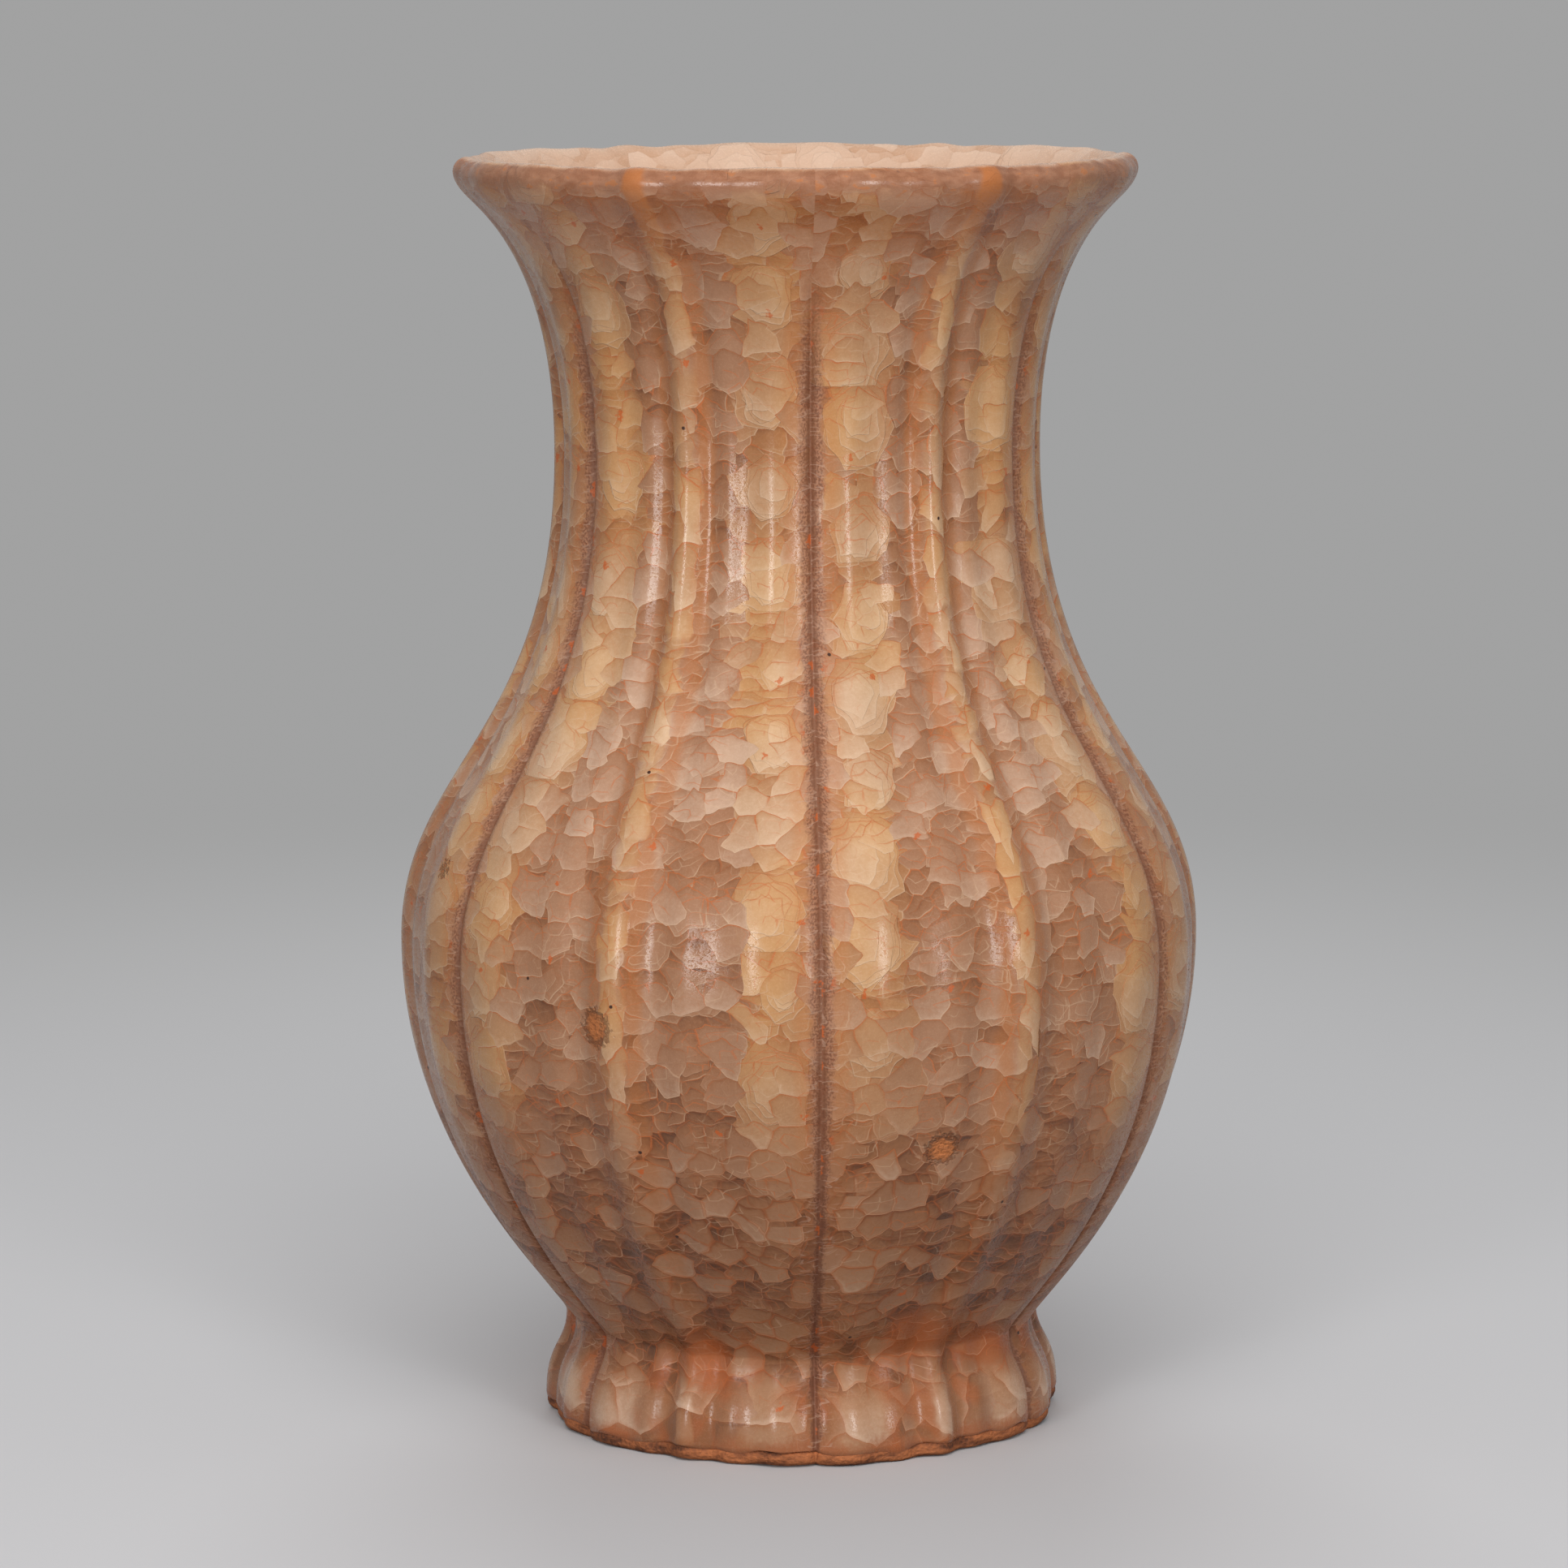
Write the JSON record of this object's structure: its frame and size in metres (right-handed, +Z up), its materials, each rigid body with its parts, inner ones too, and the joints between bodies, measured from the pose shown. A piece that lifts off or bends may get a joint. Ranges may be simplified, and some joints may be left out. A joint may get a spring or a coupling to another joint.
{
  "type": "vase",
  "caption": "Lobed baluster vase with a flared mouth, ribbed and grooved wall and spreading foot, in a thick layered crackle glaze that leaves the foot rim bare.",
  "frame": {"origin": "centre of the foot rim's underside, on the surface that the vase stands on", "axes": "+Z up along the vase's axis, -Y towards the viewer, through a sharp groove between two broad ribs"},
  "size_m": [0.1902, 0.1892, 0.3],
  "materials": {
    "clay": "bare fired stoneware, matt",
    "crackle_glaze": "thick layered crackle glaze, satin",
    "lining_glaze": "crackle glaze, satin"
  },
  "bodies": {
    "root": {"foot_ring": "clay", "base_slab": "clay", "lower_body": "clay", "upper_body": "clay", "neck_and_mouth": "clay", "exterior_glaze": "crackle_glaze", "interior_glaze": "lining_glaze", "foot_well_glaze": "lining_glaze"}
  },
  "joints": []
}
